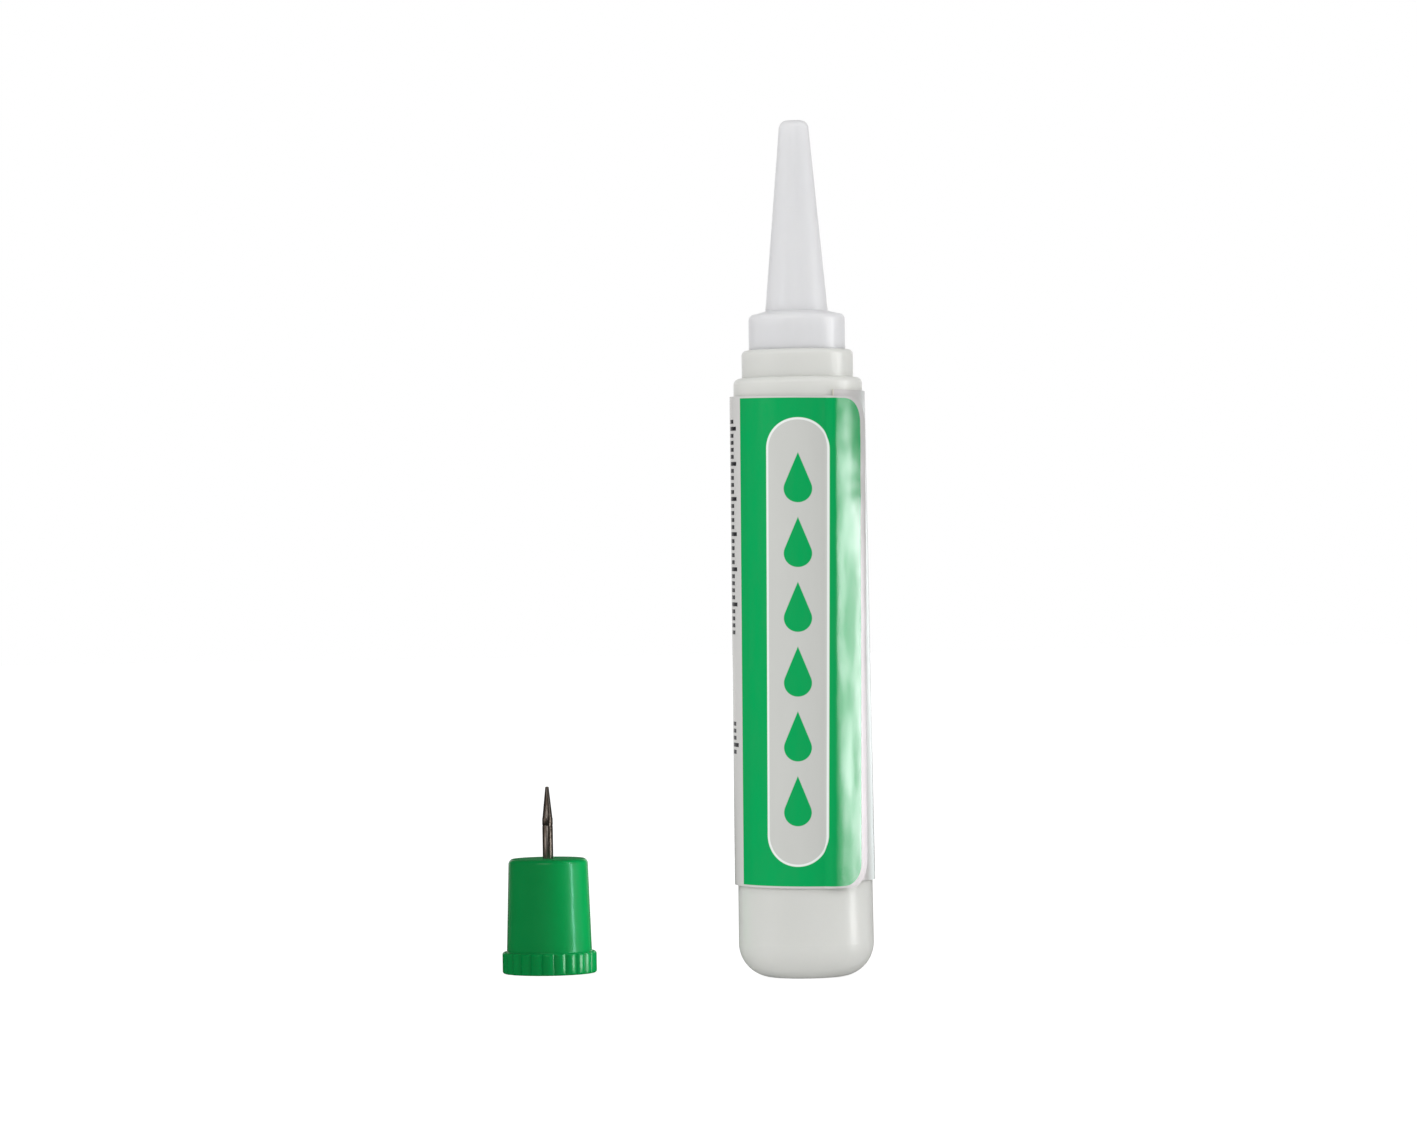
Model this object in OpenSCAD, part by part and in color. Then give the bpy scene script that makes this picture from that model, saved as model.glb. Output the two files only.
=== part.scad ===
// Slim dropper tube for instant adhesive, with its pin cap standing loose beside it.
// Origin at the centre of the bottle's underside, +Z up the tube, the label's panel facing -Y.

/* [Bottle] */
// Diameter of the bottle's side carried down to the base plane
bottle_base_d = 13.55; // [12.6:0.05:15]
// Diameter of the bottle's side carried up to the shoulder
bottle_shoulder_d = 12.85; // [12.2:0.05:14.5]
// Height of the shoulder above the base
bottle_body_h = 59.8; // [50:0.1:75]
// Thickness of the moulded wall
bottle_wall = 0.9; // [0.6:0.05:1.1]
// Radius of the corner between side and base
base_corner_r = 3.4; // [1.6:0.1:4]
// Radius on the shoulder's edge
shoulder_edge_r = 0.6; // [0.2:0.05:0.8]
// Diameter of the step above the shoulder
step_d = 11.15; // [10.2:0.05:12]
// Height of that step
step_h = 2.8; // [1.6:0.1:4]
// Radius on the step's edge
step_edge_r = 0.5; // [0.2:0.05:0.7]
// Height of the neck that the nozzle snaps over
neck_h = 2.8; // [2:0.1:3]
// Wall thickness of the neck
neck_wall = 0.9; // [0.7:0.05:1.1]
// Section radius of the snap bead round the neck
bead_r = 0.25; // [0.15:0.01:0.3]

/* [Nozzle] */
// Diameter of the collar
collar_d = 9.65; // [9.2:0.05:10]
// Height of the collar at its rim
collar_h = 3.6; // [3.4:0.05:4.5]
// Radius on the collar's top edge
collar_edge_r = 0.6; // [0.2:0.05:0.8]
// Rise of the collar's crown from rim to spout
collar_crown_h = 0.3; // [0.1:0.05:0.6]
// Wall thickness of the collar round the neck
skirt_wall = 0.85; // [0.65:0.05:1]
// Diameter of the spout where it leaves the crown
spout_base_d = 6.25; // [5.8:0.05:6.8]
// Diameter of the spout at its tip, before rounding
spout_tip_d = 2.85; // [2.8:0.05:3.6]
// Length of the spout above the crown
spout_l = 19.05; // [14:0.05:24]
// Radius on the tip's edge
tip_edge_r = 0.8; // [0.3:0.05:0.85]
// Wall thickness of the spout above its orifice channel
spout_wall = 0.75; // [0.6:0.05:0.8]
// Diameter of the orifice that the pin opens and closes
orifice_d = 1.14; // [1.11:0.01:1.2]
// Length of the orifice
orifice_l = 1.8; // [1.2:0.1:3]
// Length of the sealing plug inside the neck
plug_l = 2.2; // [1.2:0.1:2.6]
// Wall thickness of the sealing plug
plug_wall = 0.75; // [0.6:0.05:0.9]

/* [Label] */
// Height of the label's lower edge above the base, at the front
label_z = 9.15; // [5:0.05:12]
// Height of the label
label_h = 48.7; // [35:0.1:49.5]
// Thickness of the label
label_t = 0.2; // [0.1:0.01:0.25]
// Where the label's free end lies, in degrees to the right of the front
label_end_a = 62.5; // [50:0.5:90]
// How far the free end laps over the start, in degrees
label_lap_a = 36; // [15:1:60]
// Angle over which the sheet climbs onto its own start
label_climb_a = 7; // [4:1:16]
// Radius on the free end's corners
label_corner_r = 2.6; // [0.5:0.1:3]
// How far the label is out of square with the tube, in degrees
label_skew_a = 0.9; // [0:0.1:1]
// Share by which it leans more at the right than at the front, and less at the left
label_fan = 0.75; // [0:0.05:1]

/* [Adhesive] */
// Height of the liquid's surface above the base
fill_z = 30; // [12:0.5:50]

/* [Cap] */
// How far the loose cap stands to the left of the tube's axis
cap_side = 26; // [15:0.1:40]
// How far the loose cap stands behind the tube's axis
cap_back = 10; // [0:0.1:15]
// Height of the cap without its pin
cap_h = 11.65; // [10:0.1:14]
// Diameter of the cap at its closed end
cap_top_d = 8.05; // [7.8:0.05:8.4]
// Diameter of the cap's side carried down to its open end
cap_base_d = 8.8; // [8.5:0.05:9]
// Diameter over the grip ribs of the rim
cap_rim_d = 9.6; // [9.4:0.05:10.2]
// Height of the ribbed rim
cap_rim_h = 2.2; // [1.4:0.1:3]
// Number of grip ribs
grip_ribs = 24; // [18:1:30]
// Radius of each grip rib
grip_rib_r = 0.85; // [0.65:0.01:0.9]
// Radius on the rim's edges
cap_rim_edge_r = 0.25; // [0.1:0.05:0.4]
// Radius on the closed end's edge
cap_edge_r = 0.5; // [0.2:0.05:0.8]
// Wall thickness of the cap's side
cap_wall = 0.9; // [0.7:0.05:1.1]
// Thickness of the closed end
cap_end_wall = 1.2; // [0.8:0.1:1.6]
// Diameter of the boss that holds the pin
boss_d = 3; // [2.4:0.1:3.4]
// Length of the boss below the closed end
boss_l = 3.2; // [2:0.1:4]

/* [Pin] */
// Diameter of the pin's shank
pin_d = 1.08; // [0.8:0.01:1.1]
// Length of the pin outside the cap
pin_out_l = 7.3; // [5:0.1:9]
// Length of the ground point
pin_point_l = 3.2; // [2:0.1:4.5]
// Diameter of the blunt tip
pin_tip_d = 0.36; // [0.1:0.02:0.5]
// Length of the pin held in the cap
pin_set_l = 4.2; // [2:0.1:4.4]

/* [Fits] */
// Clearance between neck and collar, bead and groove included
snap_gap = 0.05; // [0.02:0.01:0.1]
// Clearance between plug and neck
plug_gap = 0.02; // [0.01:0.01:0.05]
// Clearance between the label and what it is stuck to
label_gap = 0.05; // [0.03:0.01:0.06]
// Clearance between the liquid and the wall
fill_gap = 0.04; // [0.02:0.01:0.1]
// Clearance between the pin and its bore in the cap
pin_gap = 0.01; // [0.005:0.005:0.02]

/* [Hidden] */
$fn = 96;
// overlap that joins shapes inside one piece, or carries a cut past a face
join = 0.1;
// radius inside the bottle's shoulder
inner_edge_r = 0.4;
// share of the neck's height at which the bead sits
bead_at = 0.55;
// turn between two stations of the label, and between two stations of its corners
label_step_a = 4;
label_corner_steps = 6;

seat_z = bottle_body_h + step_h;
neck_r = collar_d / 2 - skirt_wall - snap_gap;
neck_bore_r = neck_r - neck_wall;
bead_z = seat_z + neck_h * bead_at;
room_top_z = seat_z + neck_h + snap_gap;
plug_r = neck_bore_r - plug_gap;
crown_z = seat_z + collar_h + collar_crown_h;
tip_z = crown_z + spout_l;
channel_top_z = tip_z - orifice_l;
channel_base_r = plug_r - plug_wall;
channel_top_r = spout_r(channel_top_z) - spout_wall;
boss_z = cap_h - cap_end_wall - boss_l;
label_start_a = label_end_a - 360 - label_lap_a;
// degrees of turn that the corners of the free end take up
label_corner_a = label_corner_r / bottle_r(label_z + label_h / 2) * 180 / PI;

function bottle_r(z) = (bottle_base_d + (bottle_shoulder_d - bottle_base_d) * z / bottle_body_h) / 2;
function spout_r(z) = (spout_base_d + (spout_tip_d - spout_base_d) * (z - crown_z) / spout_l) / 2;
function smooth(x) = x <= 0 ? 0 : x >= 1 ? 1 : x * x * (3 - 2 * x);

// Right half of a disc
module half_disc(r) {
    intersection() {
        circle(r);
        translate([0, -r]) square([r, 2 * r]);
    }
}

// Half profile of a tapered round body from height z0 to z1, with its two outer edges rounded
module taper_profile(r0, r1, z0, z1, edge0, edge1) {
    slope = (r0 - r1) / (z1 - z0);
    k = sqrt(1 + slope * slope);
    x0 = r0 - slope * edge0 - edge0 * k;
    x1 = r0 - slope * (z1 - z0 - edge1) - edge1 * k;
    low = edge0 > 0 ? [[x0, z0], [x0 + edge0 / k, z0 + edge0 + edge0 * slope / k]] : [[r0, z0]];
    high = edge1 > 0 ? [[x1 + edge1 / k, z1 - edge1 + edge1 * slope / k], [x1, z1]] : [[r1, z1]];
    polygon(concat([[0, z0]], low, high, [[0, z1]]));
    if (edge0 > 0) translate([x0, z0 + edge0]) half_disc(edge0);
    if (edge1 > 0) translate([x1, z1 - edge1]) half_disc(edge1);
}

module bottle() {
    cavity_top_z = bottle_body_h - bottle_wall;
    step_top_z = seat_z - bottle_wall;
    color([0.86, 0.86, 0.84]) rotate_extrude() difference() {
        union() {
            taper_profile(bottle_r(0), bottle_r(bottle_body_h), 0, bottle_body_h, base_corner_r, shoulder_edge_r);
            taper_profile(step_d / 2, step_d / 2, bottle_body_h - join, seat_z, 0, step_edge_r);
            translate([0, seat_z - join]) square([neck_r, neck_h + join]);
            translate([neck_r, bead_z]) circle(bead_r);
        }
        taper_profile(bottle_r(bottle_wall) - bottle_wall, bottle_r(cavity_top_z) - bottle_wall,
            bottle_wall, cavity_top_z, base_corner_r - bottle_wall, inner_edge_r);
        taper_profile(step_d / 2 - bottle_wall, step_d / 2 - bottle_wall,
            cavity_top_z - join, step_top_z, 0, inner_edge_r);
        translate([0, step_top_z - join]) square([neck_bore_r, bottle_wall + neck_h + 2 * join]);
    }
}

module nozzle() {
    color([0.9, 0.9, 0.91]) rotate_extrude() {
        difference() {
            union() {
                taper_profile(collar_d / 2, collar_d / 2, seat_z, seat_z + collar_h, 0, collar_edge_r);
                polygon([
                    [0, seat_z + collar_h - join],
                    [collar_d / 2 - collar_edge_r, seat_z + collar_h - join],
                    [collar_d / 2 - collar_edge_r, seat_z + collar_h],
                    [spout_base_d / 2, crown_z],
                    [0, crown_z]
                ]);
                taper_profile(spout_base_d / 2, spout_tip_d / 2, crown_z, tip_z, 0, tip_edge_r);
            }
            translate([0, seat_z - join]) square([neck_r + snap_gap, room_top_z - seat_z + join]);
            translate([neck_r, bead_z]) circle(bead_r + snap_gap);
            polygon([
                [0, room_top_z - join],
                [channel_base_r, room_top_z - join],
                [channel_base_r, room_top_z],
                [channel_top_r, channel_top_z],
                [0, channel_top_z]
            ]);
            translate([0, channel_top_z - join]) square([orifice_d / 2, orifice_l + 2 * join]);
        }
        translate([channel_base_r, room_top_z - plug_l]) square([plug_wall, plug_l + join]);
    }
}

// One sheet wound round the bottle, its rounded free end lapped over its own start
module label() {
    stations = concat(
        [for (i = [0 : ceil((label_end_a - label_corner_a - label_start_a) / label_step_a) - 1])
            label_start_a + i * label_step_a],
        [for (i = [0 : label_corner_steps])
            label_end_a - label_corner_a * (1 - sin(90 * i / label_corner_steps))]
    );
    mid_z = label_z + label_h / 2;
    mean_r = bottle_r(mid_z);
    climb_start_a = label_end_a - label_lap_a - label_climb_a;
    points = [for (a = stations)
        let (
            slip = -mean_r * a * PI / 180 * tan(label_skew_a),
            short = max(0, 1 - (label_end_a - a) / label_corner_a),
            trim = label_corner_r * (1 - sqrt(1 - short * short)),
            z0 = label_z + slip + trim,
            z1 = label_z + label_h + slip - trim,
            lift = label_gap + (label_t + label_gap) * smooth((a - climb_start_a) / label_climb_a)
        )
        for (q = [[z0, 0], [z0, label_t], [z1, label_t], [z1, 0]])
            let (
                r = bottle_r(q[0]) + lift + q[1],
                turn = a + (q[0] - mid_z) * tan(label_skew_a * (1 + label_fan * sin(a))) / mean_r * 180 / PI
            )
            [r * sin(turn), -r * cos(turn), q[0]]
    ];
    last = 4 * (len(stations) - 1);
    color([0, 0.65, 0.35]) polyhedron(points, concat(
        [[3, 2, 1, 0], [last, last + 1, last + 2, last + 3]],
        [for (s = [0 : 4 : last - 4], c = [0 : 3])
            [s + c, s + (c + 1) % 4, s + 4 + (c + 1) % 4]],
        [for (s = [0 : 4 : last - 4], c = [0 : 3])
            [s + c, s + 4 + (c + 1) % 4, s + 4 + c]]
    ));
}

module adhesive() {
    inset = bottle_wall + fill_gap;
    color([0.93, 0.93, 0.86]) rotate_extrude()
        taper_profile(bottle_r(inset) - inset, bottle_r(fill_z) - inset, inset, fill_z, base_corner_r - inset, 0);
}

module cap() {
    cap_slope = (cap_base_d - cap_top_d) / (2 * cap_h);
    mouth_r = cap_base_d / 2 - cap_wall;
    hollow_h = cap_h - cap_end_wall;
    bore_r = pin_d / 2 + pin_gap;
    color([0, 0.53, 0.24]) translate([-cap_side, cap_back, 0]) difference() {
        union() {
            rotate_extrude() taper_profile(cap_base_d / 2, cap_top_d / 2, 0, cap_h, 0, cap_edge_r);
            intersection() {
                linear_extrude(cap_rim_h) for (i = [0 : grip_ribs - 1])
                    rotate(360 * i / grip_ribs) translate([cap_rim_d / 2 - grip_rib_r, 0]) circle(grip_rib_r);
                rotate_extrude()
                    taper_profile(cap_rim_d / 2, cap_rim_d / 2, 0, cap_rim_h, cap_rim_edge_r, cap_rim_edge_r);
            }
        }
        rotate_extrude() difference() {
            polygon([
                [0, -join],
                [mouth_r + cap_slope * join, -join],
                [mouth_r - cap_slope * hollow_h, hollow_h],
                [0, hollow_h]
            ]);
            translate([0, boss_z]) square([boss_d / 2, boss_l + join]);
        }
        translate([0, 0, boss_z - join]) cylinder(r = bore_r, h = cap_h - boss_z + 2 * join);
    }
}

module pin() {
    shank_top_z = cap_h + pin_out_l - pin_point_l;
    color([0.55, 0.53, 0.5]) translate([-cap_side, cap_back, 0]) rotate_extrude() polygon([
        [0, cap_h - pin_set_l],
        [pin_d / 2, cap_h - pin_set_l],
        [pin_d / 2, shank_top_z],
        [pin_tip_d / 2, cap_h + pin_out_l],
        [0, cap_h + pin_out_l]
    ]);
}

bottle();
nozzle();
label();
adhesive();
cap();
pin();
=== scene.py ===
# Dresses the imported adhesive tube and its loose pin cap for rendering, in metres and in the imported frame.
import math

import bpy
from mathutils import Matrix, Vector


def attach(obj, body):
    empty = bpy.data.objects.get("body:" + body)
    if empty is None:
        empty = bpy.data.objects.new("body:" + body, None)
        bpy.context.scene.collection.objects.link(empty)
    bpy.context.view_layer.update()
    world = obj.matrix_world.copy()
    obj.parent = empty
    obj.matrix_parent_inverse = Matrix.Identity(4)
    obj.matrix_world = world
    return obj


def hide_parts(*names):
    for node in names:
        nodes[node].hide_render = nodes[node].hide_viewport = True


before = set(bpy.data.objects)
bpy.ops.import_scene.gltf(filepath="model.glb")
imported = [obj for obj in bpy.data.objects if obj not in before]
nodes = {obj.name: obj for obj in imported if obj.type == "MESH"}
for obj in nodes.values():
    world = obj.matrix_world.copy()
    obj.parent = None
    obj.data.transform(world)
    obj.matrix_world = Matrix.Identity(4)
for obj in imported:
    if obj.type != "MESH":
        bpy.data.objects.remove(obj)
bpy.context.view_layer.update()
scene = bpy.context.scene
MM = 0.001

# Sizes in millimetres and angles in degrees, as in the part's source
BOTTLE_BASE_D = 13.55
BOTTLE_SHOULDER_D = 12.85
BOTTLE_BODY_H = 59.8
LABEL_Z = 9.15
LABEL_H = 48.7
LABEL_T = 0.2
LABEL_END_A = 62.5
LABEL_LAP_A = 36
LABEL_CLIMB_A = 7
LABEL_CORNER_R = 2.6
LABEL_SKEW_A = 0.9
LABEL_FAN = 0.75
LABEL_GAP = 0.05
CAP_SIDE = 26
CAP_BACK = 10
CAP_H = 11.65
CAP_TOP_D = 8.05
CAP_BASE_D = 8.8
CAP_RIM_D = 9.6
CAP_RIM_H = 2.2
GRIP_RIBS = 24
GRIP_RIB_R = 0.85
CAP_WALL = 0.9
CAP_END_WALL = 1.2
BOSS_D = 3
BOSS_L = 3.2
PIN_D = 1.08
PIN_OUT_L = 7.3
PIN_POINT_L = 3.2
PIN_TIP_D = 0.36
PIN_SET_L = 4.2
PIN_GAP = 0.01

CAP_CENTRE = Vector((-CAP_SIDE, CAP_BACK, 0))
BOTTLE_TAPER = (BOTTLE_BASE_D - BOTTLE_SHOULDER_D) / 2 / BOTTLE_BODY_H
LABEL_MEAN_R = BOTTLE_BASE_D / 2 - BOTTLE_TAPER * (LABEL_Z + LABEL_H / 2)
# Edges that turn by more than this are drawn sharp
FOLD_A = 40
PIN_FOLD_A = 50


def linear(code):
    """The linear colour of an sRGB hex value."""
    parts = [int(code[i:i + 2], 16) / 255 for i in (1, 3, 5)]
    return (*[c / 12.92 if c <= 0.04045 else ((c + 0.055) / 1.055) ** 2.4 for c in parts], 1)


# Nodes

def add(tree, kind, inputs=None, **settings):
    """Adds a node with its settings.

    inputs maps a socket's name or number to a value, or to the socket that feeds it."""
    made = tree.nodes.new(kind)
    for name, value in settings.items():
        setattr(made, name, value)
    for key, value in (inputs or {}).items():
        if isinstance(value, bpy.types.NodeSocket):
            tree.links.new(value, made.inputs[key])
        else:
            made.inputs[key].default_value = value
    return made


def calc(tree, operation, *terms):
    """The result of a Math node on up to three numbers or sockets."""
    return add(tree, "ShaderNodeMath", dict(enumerate(terms)), operation=operation).outputs[0]


def ranged(tree, value, low, high, start=0.0, end=1.0, **settings):
    """A value mapped so that low gives start and high gives end, and nothing goes past them."""
    limits = {"Value": value, 1: low, 2: high, 3: start, 4: end}
    return add(tree, "ShaderNodeMapRange", limits, **settings).outputs[0]


def mix(tree, share, first, second, kind="FLOAT"):
    """A mix of two numbers or, with the kind RGBA, of two colours."""
    a, b, result = (6, 7, 2) if kind == "RGBA" else (2, 3, 0)
    return add(tree, "ShaderNodeMix", {0: share, a: first, b: second}, data_type=kind).outputs[result]


def noise(tree, scale, detail, at=None):
    """Noise at the given places, or at the mesh's own."""
    made = add(tree, "ShaderNodeTexNoise", {"Scale": scale, "Detail": detail})
    if at is not None:
        tree.links.new(at, made.inputs["Vector"])
    return made.outputs["Fac"]


def moved(tree, operation, first, second):
    """The result of a Vector Math node on two vectors."""
    return add(tree, "ShaderNodeVectorMath", {0: first, 1: second}, operation=operation).outputs[0]


def split(tree, vector):
    """The X, Y and Z of a vector."""
    made = add(tree, "ShaderNodeSeparateXYZ", {0: vector})
    return made.outputs["X"], made.outputs["Y"], made.outputs["Z"]


def length(tree, vector):
    """The length of a vector."""
    return add(tree, "ShaderNodeVectorMath", {0: vector}, operation="LENGTH").outputs["Value"]


def pair(tree, x, y):
    """A vector with this X and Y."""
    return add(tree, "ShaderNodeCombineXYZ", {0: x, 1: y}).outputs[0]


def places(tree, kind="Object"):
    """Texture coordinates of one kind."""
    return add(tree, "ShaderNodeTexCoord").outputs[kind]


def bumped(tree, height, strength, depth):
    """A normal that follows a height."""
    return add(tree, "ShaderNodeBump", {"Height": height, "Strength": strength, "Distance": depth}).outputs[0]


def finish_of(name, sockets):
    """A new material with one Principled shader and these values on it. Returns material, tree and shader."""
    made = bpy.data.materials.new(name)
    made.use_nodes = True
    shader = made.node_tree.nodes["Principled BSDF"]
    for key, value in sockets.items():
        shader.inputs[key].default_value = value
    return made, made.node_tree, shader


def feed(tree, shader, sockets):
    """Links results to a shader's sockets by their names."""
    for key, result in sockets.items():
        tree.links.new(result, shader.inputs[key])


def new_tree(name, numbers, others):
    """A geometry tree with number inputs and others of given kinds. Returns it and its inputs."""
    tree = bpy.data.node_groups.new(name, "GeometryNodeTree")
    tree.is_modifier = True
    tree.interface.new_socket("Geometry", in_out="INPUT", socket_type="NodeSocketGeometry")
    tree.interface.new_socket("Geometry", in_out="OUTPUT", socket_type="NodeSocketGeometry")
    for label, kind in {**dict.fromkeys(numbers, "NodeSocketFloat"), **others}.items():
        tree.interface.new_socket(label, in_out="INPUT", socket_type=kind)
    return tree, add(tree, "NodeGroupInput").outputs


def ended(tree, geometry, material):
    """Ends a geometry tree: plain mesh with one material."""
    real = add(tree, "GeometryNodeRealizeInstances", {0: geometry})
    dressed = add(tree, "GeometryNodeSetMaterial", {"Geometry": real.outputs[0], "Material": material})
    add(tree, "NodeGroupOutput", {0: dressed.outputs[0]})
    return tree


# Meshes

def place(name, mesh, materials):
    """A new object at the origin with this mesh and these materials."""
    made = bpy.data.objects.new(name, mesh)
    scene.collection.objects.link(made)
    for material in materials:
        mesh.materials.append(material)
    return made


def grow(piece, tree, values):
    """Puts a node tree on a piece as a modifier and sets its inputs by their names."""
    modifier = piece.modifiers.new(tree.name, "NODES")
    modifier.node_group = tree
    for item in tree.interface.items_tree:
        if item.in_out == "INPUT" and item.name in values:
            modifier[item.identifier] = values[item.name]


def settle(piece, sharp_deg):
    """Turns a piece and its modifiers into one plain mesh, smooth except at edges sharper than the angle."""
    graph = bpy.context.evaluated_depsgraph_get()
    shown = piece.evaluated_get(graph)
    mesh = bpy.data.meshes.new_from_object(shown, preserve_all_data_layers=True, depsgraph=graph)
    piece.modifiers.clear()
    piece.data = mesh
    mesh.shade_smooth()
    mesh.set_sharp_from_angle(angle=math.radians(sharp_deg))


def rounded(corners, steps=6):
    """Points along a closed outline whose corners (radius, height, fillet) are rounded by their fillets."""
    points = []
    for i, (r, z, fillet) in enumerate(corners):
        here = Vector((r, z))
        back = (Vector(corners[i - 1][:2]) - here).normalized()
        ahead = (Vector(corners[(i + 1) % len(corners)][:2]) - here).normalized()
        half = back.angle(ahead) / 2
        centre = here + (back + ahead).normalized() * fillet / math.sin(half)
        start = here + back * fillet / math.tan(half) - centre
        end = here + ahead * fillet / math.tan(half) - centre
        for k in range(steps + 1):
            points.append(centre + start.slerp(end, k / steps) * fillet)
    return points


def turned(name, outline, steps, centre, materials):
    """A closed outline of (radius, height) points, in millimetres, turned once round an upright axis."""
    on_axis = 1e-6
    rings = []
    vertices = []
    for r, z in outline:
        count = steps if r > on_axis else 1
        rings.append(range(len(vertices), len(vertices) + count))
        for k in range(count):
            a = 2 * math.pi * k / steps
            vertices.append((centre + Vector((r * math.cos(a), r * math.sin(a), z))) * MM)
    faces = []
    for low, high in zip(rings, rings[1:] + rings[:1]):
        for k in range(steps):
            after = (k + 1) % steps
            corners = [low[k % len(low)], low[after % len(low)], high[after % len(high)], high[k % len(high)]]
            corners = list(dict.fromkeys(corners))
            if len(corners) > 2:
                faces.append(corners)
    mesh = bpy.data.meshes.new(name)
    mesh.from_pydata(vertices, [], faces)
    return place(name, mesh, materials)


# Materials

def milky_polyethylene(name, tint, cloud):
    """Moulded low-density polyethylene: milky, light soaks in and spreads, and the satin skin is uneven."""
    made, tree, shader = finish_of(name, {
        "IOR": 1.51,
        "Subsurface Weight": 0.6,
        "Subsurface Radius": (1.0, 0.98, 0.94),
        "Subsurface Scale": 2.2 * MM,
        "Specular IOR Level": 0.5,
    })
    at = places(tree)
    # Cloudiness of the wall, about 6 mm from one cloud to the next
    clouds = noise(tree, 1 / (6 * MM), 3, at)
    # The skin's own grain is finer than 0.1 mm, drawn at 0.5 mm so that it shows, on waves of 4 mm
    grain = noise(tree, 1 / (0.5 * MM), 2, at)
    wave = noise(tree, 1 / (4 * MM), 1, at)
    waves_to_grain = 6.0
    feed(tree, shader, {
        "Base Color": mix(tree, clouds, linear(tint), linear(cloud), "RGBA"),
        "Roughness": ranged(tree, clouds, 0, 1, 0.26, 0.34),
        "Normal": bumped(tree, calc(tree, "MULTIPLY_ADD", wave, waves_to_grain, grain), 0.25, 0.02 * MM),
    })
    return made


def clear_adhesive():
    """Liquid adhesive: clear and faintly yellow, with a flat mirror-smooth surface."""
    return finish_of("clear liquid adhesive", {
        "Base Color": linear("#f4f3ea"),
        "Roughness": 0.02,
        "IOR": 1.45,
        "Transmission Weight": 1.0,
    })[0]


def printed_film():
    """Printed polypropylene film: flat ink, a varnished panel whose sheen is streaked, and a few scuffs."""
    made, tree, shader = finish_of("printed label film", {"IOR": 1.5})
    sheet = add(tree, "ShaderNodeAttribute", attribute_name="sheet").outputs["Vector"]
    along, up, _ = split(tree, sheet)
    from_mid = calc(tree, "SUBTRACT", up, LABEL_H / 2)
    rise = calc(tree, "ABSOLUTE", from_mid)
    ink_blur = 0.03

    def inside(distance, edge=0.0):
        """1 where a distance is under the edge, 0 beyond it, with a soft ink edge between."""
        return ranged(tree, distance, edge + ink_blur, edge - ink_blur)

    def beyond(distance, edge):
        """1 where a distance is over the edge, 0 before it, with a soft ink edge between."""
        return ranged(tree, distance, edge - ink_blur, edge + ink_blur)

    def outside(dx, limit_x, limit_z, r):
        """How far a point is outside a rounded box, by its distances from the box's middle."""
        px = calc(tree, "MAXIMUM", calc(tree, "SUBTRACT", dx, limit_x - r), 0)
        pz = calc(tree, "MAXIMUM", calc(tree, "SUBTRACT", rise, limit_z - r), 0)
        return calc(tree, "SUBTRACT", length(tree, pair(tree, px, pz)), r)

    # Green panel: square on the left, rounded on the right, all sizes in millimetres of the flat sheet
    panel_left, panel_right, margin, panel_r = -7.0, 6.3, 0.2, 2.3
    from_panel = calc(tree, "SUBTRACT", along, (panel_left + panel_right) / 2)
    panel = inside(outside(from_panel, (panel_right - panel_left) / 2, LABEL_H / 2 - margin, panel_r))
    panel = calc(tree, "MULTIPLY", panel, beyond(along, panel_left))
    # Pale window with round ends and a white edge line
    window_mid, window_w, window_h, line_w = -0.47, 6.2, 44.4, 0.22
    aside = calc(tree, "ABSOLUTE", calc(tree, "SUBTRACT", along, window_mid))
    from_window = outside(aside, window_w / 2, window_h / 2, window_w / 2)
    window = inside(from_window)
    heart = inside(from_window, -line_w)
    # Row of plain drops in the window
    drop_pitch, drop_count = 6.4, 6
    row_half = drop_pitch * drop_count / 2
    cell = calc(tree, "FLOORED_MODULO", calc(tree, "ADD", from_mid, row_half), drop_pitch)
    # Each drop is a disc with a pointed top that leaves it along its tangents
    drop_r, drop_foot, drop_point = 1.35, 1.0, 3.6
    tip_sine = drop_r / drop_point
    tip_cosine = math.sqrt(1 - tip_sine ** 2)
    over = calc(tree, "SUBTRACT", cell, drop_foot + drop_r)
    disc = inside(length(tree, pair(tree, aside, over)), drop_r)
    lean = calc(tree, "MULTIPLY_ADD", over, tip_sine, -drop_point * tip_sine)
    flank = calc(tree, "MULTIPLY_ADD", aside, tip_cosine, lean)
    below = calc(tree, "SUBTRACT", drop_r * tip_sine, over)
    point = inside(calc(tree, "MAXIMUM", flank, below))
    drop = calc(tree, "MULTIPLY", calc(tree, "MAXIMUM", disc, point), inside(rise, row_half))
    # Plain tick scales up the left of the panel, a long one over a short one, every fifth tick longer
    tick_pitch, tick_t, tick_left, tick_w, fifth_more = 0.7, 0.4, -9.6, 1.2, 0.6
    tick = inside(calc(tree, "PINGPONG", up, tick_pitch / 2), tick_t / 2)
    fifth = inside(calc(tree, "PINGPONG", up, 5 * tick_pitch / 2), tick_t)
    tick_right = calc(tree, "MULTIPLY_ADD", fifth, fifth_more, tick_left + tick_w)
    tick = calc(tree, "MULTIPLY", tick, inside(calc(tree, "SUBTRACT", along, tick_right)))
    tick = calc(tree, "MULTIPLY", tick, beyond(along, tick_left))

    def scale(first, last):
        """1 from one tick of the scale to another, counted from the sheet's lower edge."""
        off = calc(tree, "SUBTRACT", up, (first + last) / 2 * tick_pitch)
        return inside(calc(tree, "ABSOLUTE", off), (last - first + 1) / 2 * tick_pitch)

    tick = calc(tree, "MULTIPLY", tick, calc(tree, "MAXIMUM", scale(36, 66), scale(19, 23)))

    bare, ink, white, pale, black = map(linear, ("#c8c7c5", "#00a055", "#e4e9e5", "#c4c5c1", "#26262a"))
    colour = bare
    for mask, paint in ((tick, black), (panel, ink), (window, white), (heart, pale), (drop, ink)):
        colour = mix(tree, mask, colour, paint, "RGBA")
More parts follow.
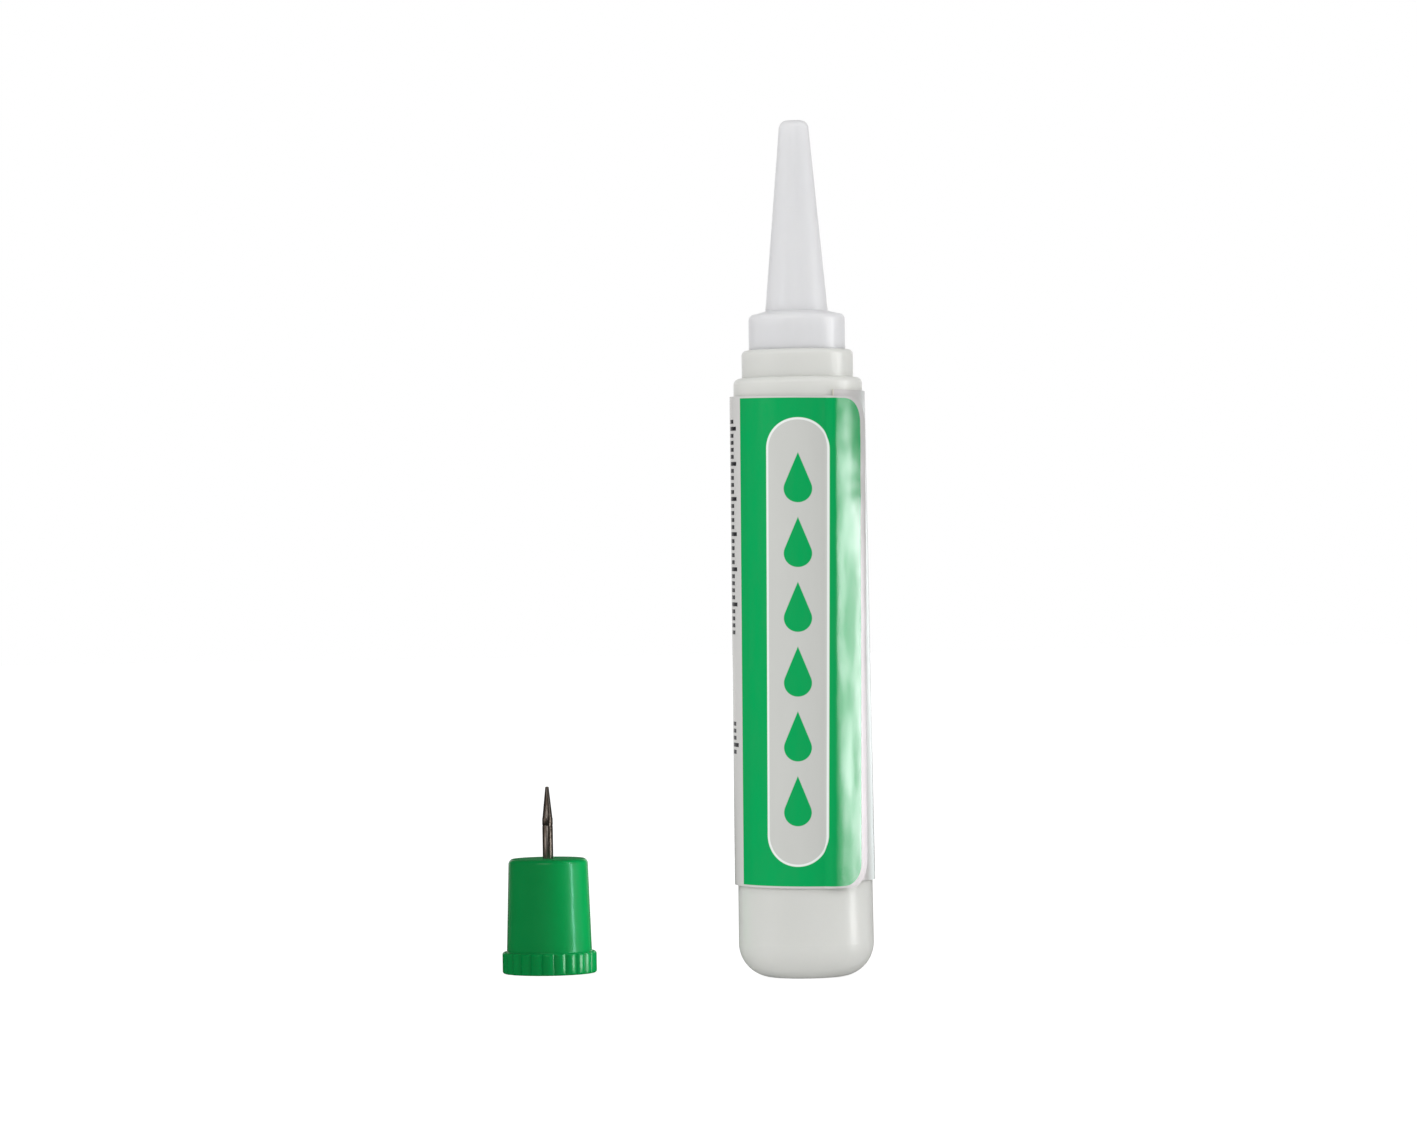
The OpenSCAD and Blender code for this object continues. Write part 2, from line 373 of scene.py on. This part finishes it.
    # Scuffs about 3 mm long along the tube change the gloss
    scuff = noise(tree, 1.0, 4, moved(tree, "MULTIPLY", sheet, (1.2, 0.3, 1.0)))
    # The panel is varnished, and its sheen fades in streaks a few millimetres tall
    streak = noise(tree, 1.0, 2, moved(tree, "MULTIPLY", sheet, (0.5, 0.13, 1.0)))
    bare_sheen, faded_sheen, full_sheen = 0.12, 0.13, 0.34
    varnish = ranged(tree, streak, 0.35, 0.65, faded_sheen, full_sheen)
    feed(tree, shader, {
        "Base Color": colour,
        "Roughness": ranged(tree, scuff, 0.3, 0.7, 0.18, 0.26),
        "Specular IOR Level": mix(tree, panel, bare_sheen, varnish),
    })
    return made


def film_edge():
    """Cut edge of the label: bare paper-white film, matt and faintly yellow."""
    made, tree, shader = finish_of("cut film edge", {"Roughness": 0.6})
    flecks = noise(tree, 1 / (0.4 * MM), 2, places(tree))
    feed(tree, shader, {"Base Color": mix(tree, flecks, linear("#e9e5d6"), linear("#dcd7c6"), "RGBA")})
    return made


def green_polypropylene():
    """Moulded green polypropylene: deep and glossy, with a faint orange-peel that frays its highlights."""
    made, tree, shader = finish_of("moulded green polypropylene", {
        "IOR": 1.49,
        "Subsurface Weight": 0.15,
        "Subsurface Radius": (0.3, 1.0, 0.5),
        "Subsurface Scale": 0.5 * MM,
    })
    at = places(tree)
    flow = noise(tree, 1 / (3 * MM), 2, at)
    # The sides are polished and the top is matt
    top = ranged(tree, split(tree, places(tree, "Normal"))[2], 0.8, 0.98)
    polish = ranged(tree, flow, 0, 1, 0.17, 0.25)
    # Orange-peel about 0.6 mm across
    peel = noise(tree, 1 / (0.6 * MM), 2, at)
    feed(tree, shader, {
        "Base Color": mix(tree, flow, linear("#007436"), linear("#007a39"), "RGBA"),
        "Roughness": mix(tree, top, polish, 0.7),
        "Specular IOR Level": mix(tree, top, 0.3, 0.06),
        "Normal": bumped(tree, peel, 0.3, 0.02 * MM),
    })
    return made


def drawn_steel():
    """Drawn steel wire: metal whose colour is streaked dark and light along its length, as painted
    reflections of its surroundings.
    """
    made, tree, shader = finish_of("drawn steel wire", {"Metallic": 1.0})
    # Streaks about 0.15 mm apart round the wire and 4 mm long: in the colour they are painted reflections,
    # and in the gloss and bump a grain along the wire
    across, lengthwise = 1 / (0.3 * MM), 1 / (4 * MM)
    reflection_streak_place = add(tree, "ShaderNodeMapping", {"Vector": places(tree), "Scale": (across, across, lengthwise)})
    streak = noise(tree, 1.0, 3, reflection_streak_place.outputs[0])
    # Dark brown to light grey: painted reflections of the dark and bright surroundings
    shades = add(tree, "ShaderNodeValToRGB", {0: streak})
    for stop, position, shade in zip(shades.color_ramp.elements, (0.38, 0.62), ("#6a5d53", "#b0a69d")):
        stop.position, stop.color = position, linear(shade)
    feed(tree, shader, {
        "Base Color": shades.outputs[0],
        "Roughness": ranged(tree, streak, 0, 1, 0.42, 0.25),
        "Normal": bumped(tree, streak, 0.4, 0.01 * MM),
    })
    return made


# Label: a flat die-cut sheet, wound round the tapered bottle by a node tree

def flat_label():
    """The label before it is wound on: flat in X and Z, in metres, with its millimetres stored on it."""
    start = math.radians(LABEL_END_A - 360 - LABEL_LAP_A) * LABEL_MEAN_R
    end = math.radians(LABEL_END_A) * LABEL_MEAN_R
    corner_start = end - LABEL_CORNER_R
    count, corner_count, rows = 220, 14, 110
    columns = [start + (corner_start - start) * i / count for i in range(count)]
    for i in range(corner_count + 1):
        columns.append(end - LABEL_CORNER_R * (1 - math.sin(math.pi / 2 * i / corner_count)))
    points = []
    for s in columns:
        short = max(0.0, 1 - (end - s) / LABEL_CORNER_R)
        trim = LABEL_CORNER_R * (1 - math.sqrt(1 - short * short))
        points += [(s, trim + (LABEL_H - 2 * trim) * k / rows) for k in range(rows + 1)]
    faces = []
    for i in range(len(columns) - 1):
        for k in range(rows):
            a = i * (rows + 1) + k
            faces.append((a, a + rows + 1, a + rows + 2, a + 1))
    mesh = bpy.data.meshes.new("wrap_label")
    mesh.from_pydata([(s * MM, 0, v * MM) for s, v in points], [], faces)
    stored = mesh.attributes.new("sheet", "FLOAT_VECTOR", "POINT")
    stored.data.foreach_set("vector", [c for s, v in points for c in (s, v, 0)])
    return mesh


def wrap_tree():
    """Winds a flat sheet round a tapered bottle, a little out of square, its end climbing onto its start."""
    tree, given = new_tree("wind sheet round bottle", (
        "Mean Radius", "Base Radius", "Taper", "Lower Edge", "Sheet Height", "Skew", "Fan", "Bulge",
        "Clearance", "Climb Start", "Climb End", "Climb Height", "Flat Centre", "Flatness", "Waviness",
        "Pucker",
    ), {"Film": "NodeSocketMaterial"})
    s, _, v = split(tree, add(tree, "GeometryNodeInputPosition").outputs[0])
    share = calc(tree, "DIVIDE", v, given["Sheet Height"])
    # Out of square: upright lines lean to the right, most at the right, and level lines fall to the right
    aim = calc(tree, "SINE", calc(tree, "DIVIDE", s, given["Mean Radius"]))
    fan = calc(tree, "MULTIPLY_ADD", aim, given["Fan"], 1)
    lean = calc(tree, "TANGENT", calc(tree, "MULTIPLY", fan, given["Skew"]))
    from_mid = calc(tree, "MULTIPLY_ADD", given["Sheet Height"], -0.5, v)
    round_s = calc(tree, "MULTIPLY_ADD", from_mid, lean, s)
    turn = calc(tree, "DIVIDE", round_s, given["Mean Radius"])
    fall = calc(tree, "MULTIPLY", s, calc(tree, "TANGENT", given["Skew"]))
    z = calc(tree, "ADD", calc(tree, "SUBTRACT", v, fall), given["Lower Edge"])
    # Radius: the bottle's own, the clearance and the climb onto the sheet's start
    wall = calc(tree, "SUBTRACT", given["Base Radius"], calc(tree, "MULTIPLY", z, given["Taper"]))
    on_wall = calc(tree, "ADD", wall, given["Clearance"])
    climb = ranged(tree, s, given["Climb Start"], given["Climb End"], interpolation_type="SMOOTHSTEP")
    # The lap is stiffer than one sheet and lies flatter: part of the way to a tangent plane at its middle
    bow_limit = 0.5
    bow = calc(tree, "MAXIMUM", calc(tree, "SUBTRACT", turn, given["Flat Centre"]), -bow_limit)
    bow = calc(tree, "COSINE", calc(tree, "MINIMUM", bow, bow_limit))
    bow = calc(tree, "SUBTRACT", calc(tree, "DIVIDE", 1, bow), 1)
    bow = calc(tree, "MULTIPLY", bow, wall)
    lap = calc(tree, "MULTIPLY_ADD", bow, given["Flatness"], given["Climb Height"])
    # Puckers about 3 mm across, where the upper part of the lap is not pressed down
    loose_from, loose_full = 0.3, 0.75
    loose = ranged(tree, share, loose_from, loose_full)
    pucker = calc(tree, "MULTIPLY", noise(tree, 1 / (3 * MM), 2), loose)
    lap = calc(tree, "MULTIPLY_ADD", pucker, given["Pucker"], lap)
    raised = calc(tree, "MULTIPLY", lap, climb)
    # A slack place down the left side, widest at the top
    slack_at, slack_half = math.radians(-85), math.radians(40)
    slack = calc(tree, "ABSOLUTE", calc(tree, "SUBTRACT", turn, slack_at))
    slack = ranged(tree, slack, slack_half, 0, interpolation_type="SMOOTHSTEP")
    slack = calc(tree, "MULTIPLY", slack, ranged(tree, share, 0, 1, 0.5, 1.0))
    raised = calc(tree, "MULTIPLY_ADD", slack, given["Bulge"], raised)
    # Slight waves in the stuck film, about 7 mm long
    raised = calc(tree, "MULTIPLY_ADD", noise(tree, 1 / (7 * MM), 1), given["Waviness"], raised)
    r = calc(tree, "ADD", on_wall, raised)
    x = calc(tree, "MULTIPLY", r, calc(tree, "SINE", turn))
    y = calc(tree, "MULTIPLY", calc(tree, "MULTIPLY", r, calc(tree, "COSINE", turn)), -1)
    spot = add(tree, "ShaderNodeCombineXYZ", {0: x, 1: y, 2: z}).outputs[0]
    wound = add(tree, "GeometryNodeSetPosition", {"Geometry": given["Geometry"], "Position": spot})
    return ended(tree, wound.outputs[0], given["Film"])


film = printed_film()
wrap_label = place("wrap_label", flat_label(), [film, film_edge()])
climb_end = math.radians(LABEL_END_A - LABEL_LAP_A) * LABEL_MEAN_R
grow(wrap_label, wrap_tree(), {
    "Mean Radius": LABEL_MEAN_R * MM,
    "Base Radius": BOTTLE_BASE_D / 2 * MM,
    "Taper": BOTTLE_TAPER,
    "Lower Edge": LABEL_Z * MM,
    "Sheet Height": LABEL_H * MM,
    "Skew": math.radians(LABEL_SKEW_A),
    "Fan": LABEL_FAN,
    "Bulge": 0.15 * MM,
    "Clearance": LABEL_GAP * MM,
    "Climb Start": (climb_end - math.radians(LABEL_CLIMB_A) * LABEL_MEAN_R) * MM,
    "Climb End": climb_end * MM,
    "Climb Height": (LABEL_T + LABEL_GAP) * MM,
    "Flat Centre": math.radians(47),
    "Flatness": 0.3,
    "Waviness": 0.02 * MM,
    "Pucker": 0.12 * MM,
    "Film": film,
})
thickness = wrap_label.modifiers.new("film thickness", "SOLIDIFY")
thickness.thickness = LABEL_T * MM
thickness.offset = 1
thickness.material_offset_rim = 1
settle(wrap_label, FOLD_A)


# Cap: a turned shell whose rim a node tree draws in to grip ribs

def grip_tree():
    """Draws a round rim in to a ring of round grip ribs about an upright axis."""
    tree, given = new_tree("grip ribs", ("Ribs", "Rim Radius", "Rib Radius"), {
        "Axis": "NodeSocketVector", "Plastic": "NodeSocketMaterial"})
    spot = add(tree, "GeometryNodeInputPosition").outputs[0]
    off_x, off_y, _ = split(tree, moved(tree, "SUBTRACT", spot, given["Axis"]))
    level = pair(tree, off_x, off_y)
    turn = calc(tree, "ARCTAN2", off_y, off_x)
    # Angle from the nearest rib's middle
    half_pitch = calc(tree, "MULTIPLY", calc(tree, "DIVIDE", 2 * math.pi, given["Ribs"]), 0.5)
    off_rib = calc(tree, "WRAP", turn, half_pitch, calc(tree, "MULTIPLY", half_pitch, -1))
    # Where a ray at that angle leaves the rib's round section
    ring = calc(tree, "SUBTRACT", given["Rim Radius"], given["Rib Radius"])
    near = calc(tree, "MULTIPLY", ring, calc(tree, "COSINE", off_rib))
    side = calc(tree, "MULTIPLY", ring, calc(tree, "SINE", off_rib))
    rib_square = calc(tree, "MULTIPLY", given["Rib Radius"], given["Rib Radius"])
    depth = calc(tree, "SQRT", calc(tree, "SUBTRACT", rib_square, calc(tree, "MULTIPLY", side, side)))
    drawn = calc(tree, "DIVIDE", calc(tree, "ADD", near, depth), length(tree, level))
    drawn = calc(tree, "MINIMUM", drawn, 1)
    shrunk = add(tree, "ShaderNodeVectorMath", {0: level, "Scale": drawn}, operation="SCALE").outputs[0]
    shift = moved(tree, "SUBTRACT", shrunk, level)
    ribbed = add(tree, "GeometryNodeSetPosition", {"Geometry": given["Geometry"], "Offset": shift})
    return ended(tree, ribbed.outputs[0], given["Plastic"])


plastic = green_polypropylene()
cap_slope = (CAP_BASE_D - CAP_TOP_D) / 2 / CAP_H
hollow_h = CAP_H - CAP_END_WALL
boss_foot = hollow_h - BOSS_L
mouth_r = CAP_BASE_D / 2 - CAP_WALL
bore_r = PIN_D / 2 + PIN_GAP
# Radius, height and fillet of each corner
cap_outline = rounded([
    (mouth_r, 0, 0.12),
    (CAP_RIM_D / 2, 0, 0.25),
    (CAP_RIM_D / 2, CAP_RIM_H, 0.25),
    (CAP_BASE_D / 2 - cap_slope * CAP_RIM_H, CAP_RIM_H, 0.1),
    (CAP_TOP_D / 2, CAP_H, 0.5),
    (bore_r, CAP_H, 0.05),
    (bore_r, boss_foot, 0.05),
    (BOSS_D / 2, boss_foot, 0.15),
    (BOSS_D / 2, hollow_h, 0.2),
    (mouth_r - cap_slope * hollow_h, hollow_h, 0.3),
])
RIB_STEPS = 16
pin_cap = turned("pin_cap", cap_outline, GRIP_RIBS * RIB_STEPS, CAP_CENTRE, [plastic])
grow(pin_cap, grip_tree(), {
    "Axis": CAP_CENTRE * MM,
    "Ribs": float(GRIP_RIBS),
    "Rim Radius": CAP_RIM_D / 2 * MM,
    "Rib Radius": GRIP_RIB_R * MM,
    "Plastic": plastic,
})
settle(pin_cap, FOLD_A)

# Pin: drawn wire with a shallow groove below its ground point and broken edges, as radii and heights
pin_foot = CAP_H - PIN_SET_L
pin_top = CAP_H + PIN_OUT_L
shank_top = pin_top - PIN_POINT_L
pin_r, tip_r = PIN_D / 2, PIN_TIP_D / 2
chamfer, groove, shoulder, tip_edge = 0.04, 0.025, 0.05, 0.06
pin_outline = [
    (0, pin_foot),
    (pin_r - chamfer, pin_foot),
    (pin_r, pin_foot + chamfer),
    (pin_r, shank_top - 0.85),
    (pin_r - groove, shank_top - 0.8),
    (pin_r - groove, shank_top - 0.7),
    (pin_r, shank_top - 0.65),
    (pin_r, shank_top - shoulder),
    (pin_r - 0.03, shank_top + shoulder),
    (tip_r, pin_top - 0.05),
    (tip_r - tip_edge, pin_top),
    (0, pin_top),
]
PIN_STEPS = 64
pin_wire = turned("pin_wire", pin_outline, PIN_STEPS, CAP_CENTRE, [drawn_steel()])
settle(pin_wire, PIN_FOLD_A)

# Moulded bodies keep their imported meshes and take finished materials
for name, material in {
    "bottle": milky_polyethylene("milky polyethylene bottle", "#d3d4cf", "#d9d9d5"),
    "nozzle": milky_polyethylene("milky polyethylene nozzle", "#dadadc", "#dededf"),
    "adhesive": clear_adhesive(),
}.items():
    nodes[name].material_slots[0].material = material

for piece, body, node, slot in (
    (wrap_label, "tube", "label", "label_film"),
    (pin_cap, "pin_cap", "cap", "cap_plastic"),
    (pin_wire, "pin_cap", "pin", "pin_steel"),
):
    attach(piece, body)
    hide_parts(node)

# Floor: white to the camera apart from the shadows on it, and dim in mirror views away from the backdrop
FLOOR_HALF = 2.0
FLOOR_GREY = (0.45, 0.45, 0.45, 1)
FLOOR_GLOW = 0.78
FLOOR_BOUNCE = 0.5
MIRROR_DIM = 0.012
BLACK, WHITE = (0, 0, 0, 1), (1, 1, 1, 1)


def mirrored_room(tree, path, y, start, end):
    """The glow in mirror views: dim, and rising to white from start to end towards the backdrop."""
    return calc(tree, "MULTIPLY", ranged(tree, y, start, end, MIRROR_DIM, 1.0), path["Is Glossy Ray"])


floor_mesh = bpy.data.meshes.new("floor")
corners = [(x * FLOOR_HALF, y * FLOOR_HALF, 0) for x, y in ((-1, -1), (1, -1), (1, 1), (-1, 1))]
floor_mesh.from_pydata(corners, [], [(0, 1, 2, 3)])
paper, tree, shader = finish_of("white paper sweep", {
    "Roughness": 0.9,
    "Specular IOR Level": 0.0,
    "Emission Color": WHITE,
})
path = add(tree, "ShaderNodeLightPath").outputs
mirrored = mirrored_room(tree, path, split(tree, places(tree))[1], 0.3, 0.8)
clear = calc(tree, "MAXIMUM", path["Is Camera Ray"], path["Is Transmission Ray"])
seen = calc(tree, "MAXIMUM", mirrored, calc(tree, "MULTIPLY", clear, FLOOR_GLOW))
feed(tree, shader, {
    "Base Color": mix(tree, path["Is Glossy Ray"], FLOOR_GREY, BLACK, "RGBA"),
    "Emission Strength": calc(tree, "MULTIPLY_ADD", path["Is Diffuse Ray"], FLOOR_BOUNCE, seen),
})
floor = place("floor", floor_mesh, [paper])

# World: a white fill, dimmer overhead and on the right, but white to the camera and like the floor in mirrors
WORLD_FILL = 1.31
OVERHEAD_SHARE = 0.5
RIGHT_SHARE = 0.6
world = bpy.data.worlds.new("studio")
scene.world = world
world.use_nodes = True
tree = world.node_tree
tree.nodes.clear()
path = add(tree, "ShaderNodeLightPath").outputs
way_x, way_y, way_z = split(tree, places(tree, "Generated"))
clear = calc(tree, "MAXIMUM", path["Is Camera Ray"], path["Is Transmission Ray"])
seen = calc(tree, "MAXIMUM", mirrored_room(tree, path, way_y, 0.8, 0.99), clear)
seen_share = calc(tree, "MAXIMUM", clear, path["Is Glossy Ray"])
fill = ranged(tree, way_z, 0.2, 0.9, WORLD_FILL, OVERHEAD_SHARE * WORLD_FILL)
fill = calc(tree, "MULTIPLY", fill, ranged(tree, way_x, -0.2, 0.9, 1.0, RIGHT_SHARE))
strength = mix(tree, seen_share, fill, seen)
light = add(tree, "ShaderNodeBackground", {"Color": WHITE, "Strength": strength})
add(tree, "ShaderNodeOutputWorld", {"Surface": light.outputs[0]})


# Lamps

def softbox(name, centre, azimuth, distance, reach, width, radiance, gives="sheen and shade",
            only_on=(), not_on=(), tint="#ffffff"):
    """An upright lamp round a centre, at an azimuth in degrees from the front, positive to the right.

    Lengths are in metres, and reach is the lamp's lowest and highest point. A lamp that gives sheen shows in
    highlights, and one that gives shade lights the colour of what it falls on. Flags keep a lamp to some
    pieces or off others."""
    lamp = bpy.data.lights.new(name, "AREA")
    lamp.shape = "RECTANGLE"
    lamp.color = linear(tint)[:3]
    lamp.size, lamp.size_y = width, reach[1] - reach[0]
    lamp.energy = radiance * math.pi * lamp.size * lamp.size_y
    a = math.radians(azimuth)
    made = bpy.data.objects.new(name, lamp)
    made.location = centre + Vector((distance * math.sin(a), -distance * math.cos(a), sum(reach) / 2))
    made.rotation_euler = (math.pi / 2, 0, a)
    made.visible_diffuse = "shade" in gives
    made.visible_glossy = "sheen" in gives
    scene.collection.objects.link(made)
    if only_on or not_on:
        flag = bpy.data.collections.new(name + " flag")
        for piece in (*only_on, *not_on):
            flag.objects.link(piece)
        for row in flag.collection_objects:
            row.light_linking.link_state = "INCLUDE" if only_on else "EXCLUDE"
        made.light_linking.receiver_collection = flag


# Bottle and nozzle: shade from the right, and a strip of sheen on each step and on the base
TUBE_AXIS = Vector((0, 0, 0))
DRESS = [wrap_label, pin_cap, pin_wire, floor]
softbox("body_right", TUBE_AXIS, 86, 0.3, (0.02, 0.2), 0.26, 2.7, gives="shade", not_on=DRESS)
softbox("collar_strip", TUBE_AXIS, 79, 0.09, (0.067, 0.08), 0.016, 9, gives="sheen", not_on=DRESS)
softbox("step_strip", TUBE_AXIS, 91, 0.09, (0.062, 0.067), 0.016, 20, gives="sheen", not_on=DRESS)
softbox("base_strip", TUBE_AXIS, 78, 0.03, (0.0, 0.0085), 0.004, 12, gives="sheen", not_on=DRESS)
softbox("base_right", TUBE_AXIS, 104, 0.03, (0.0, 0.0085), 0.016, 0.4, gives="sheen", not_on=DRESS)
# Label: broad sheen on the lap, narrower at its top
ON_LABEL = {"gives": "sheen", "only_on": [wrap_label]}
softbox("lap_low", TUBE_AXIS, 89, 0.12, (0.0, 0.0515), 0.088, 22, tint="#fff2ff", **ON_LABEL)
softbox("lap_high", TUBE_AXIS, 80, 0.12, (0.0515, 0.0605), 0.052, 21, tint="#fff2ff", **ON_LABEL)
softbox("lap_fade", TUBE_AXIS, 62, 0.12, (0.047, 0.0605), 0.03, 10.7, tint="#fff2ff", **ON_LABEL)
softbox("lap_edge", TUBE_AXIS, 140, 0.12, (0.0, 0.0605), 0.07, 3.0, tint="#f0ffff", **ON_LABEL)
# Cap and pin: a thin streak down the right, and small lights on the ribs
CAP_AXIS = CAP_CENTRE * MM
ON_CAP = {"only_on": [pin_cap]}
ON_PIN = {"gives": "sheen", "only_on": [pin_wire]}
softbox("cap_streak", CAP_AXIS, 64, 0.016, (0.0, 0.02), 0.0008, 25, gives="sheen", tint="#c4ffff", **ON_CAP)
softbox("cap_side", CAP_AXIS, 84, 0.02, (0.0, 0.02), 0.01, 0.42, gives="sheen", tint="#c4ffff", **ON_CAP)
softbox("cap_right", CAP_AXIS, 75, 0.02, (0.0, 0.02), 0.02, 5.6, gives="shade", tint="#d0f6ff", **ON_CAP)
softbox("rim_ribs", CAP_AXIS, 60, 0.0095, (0.0, 0.0022), 0.004, 8.3, gives="sheen", **ON_CAP)
softbox("pin_right", CAP_AXIS, 64, 0.016, (0.0, 0.02), 0.0008, 13, **ON_PIN)
softbox("pin_left", CAP_AXIS, -60, 0.03, (0.013, 0.022), 0.02, 1.5, **ON_PIN)
# Soft light on the whole set
softbox("soft_left", TUBE_AXIS, -56, 0.6, (0.065, 0.45), 0.3, 0.65, not_on=[pin_cap])
softbox("soft_front", TUBE_AXIS, -12, 0.8, (0.3, 0.9), 0.6, 1.4)

# Camera: level with the middle of the tube and rolled slightly, as the photograph leans
CAMERA_X, CAMERA_D, CAMERA_Z = -9.2, 550, 41.05
CAMERA_ROLL_A = -0.9
PIXELS_PER_MM = 10
PHOTO_W = 1417
SENSOR_W = 36
camera_data = bpy.data.cameras.new("camera")
camera_data.sensor_width = SENSOR_W
camera_data.lens = CAMERA_D * PIXELS_PER_MM / PHOTO_W * SENSOR_W
camera_data.clip_start, camera_data.clip_end = 0.01, 10
camera = bpy.data.objects.new("camera", camera_data)
stand = Matrix.Translation(Vector((CAMERA_X, -CAMERA_D, CAMERA_Z)) * MM)
level = Matrix.Rotation(math.pi / 2, 4, "X")
roll = Matrix.Rotation(math.radians(CAMERA_ROLL_A), 4, "Z")
camera.matrix_world = stand @ level @ roll
scene.collection.objects.link(camera)
scene.camera = camera

scene.view_settings.view_transform = "Standard"
bpy.context.view_layer.update()
